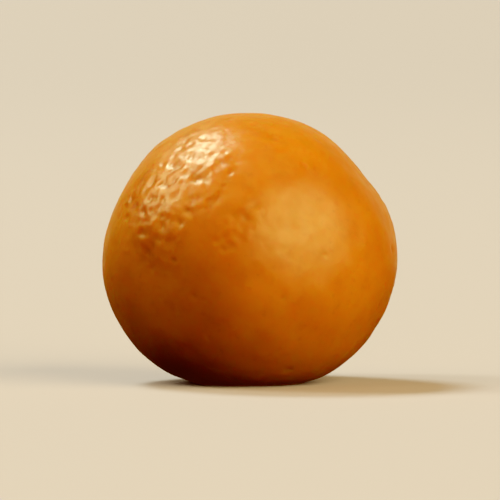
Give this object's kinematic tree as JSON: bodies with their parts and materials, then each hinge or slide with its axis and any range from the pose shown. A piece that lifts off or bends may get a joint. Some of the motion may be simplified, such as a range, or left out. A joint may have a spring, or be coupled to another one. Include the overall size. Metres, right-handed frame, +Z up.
{
  "type": "peda",
  "caption": "Round caramel-brown milk sweet with a satin, finely pebbled skin, soft palm flats and a small flat spot to rest on.",
  "frame": {"origin": "middle of the sweet's box, on the plane of the small flat spot that it rests on", "axes": "+Z up from the flat spot to the crown, +X along the widest level of the ball, and -Y out of the side that the picture shows"},
  "size_m": [0.038, 0.0374, 0.0346],
  "materials": {
    "skin": "satin"
  },
  "bodies": {
    "root": {"peda": "skin"}
  },
  "joints": []
}
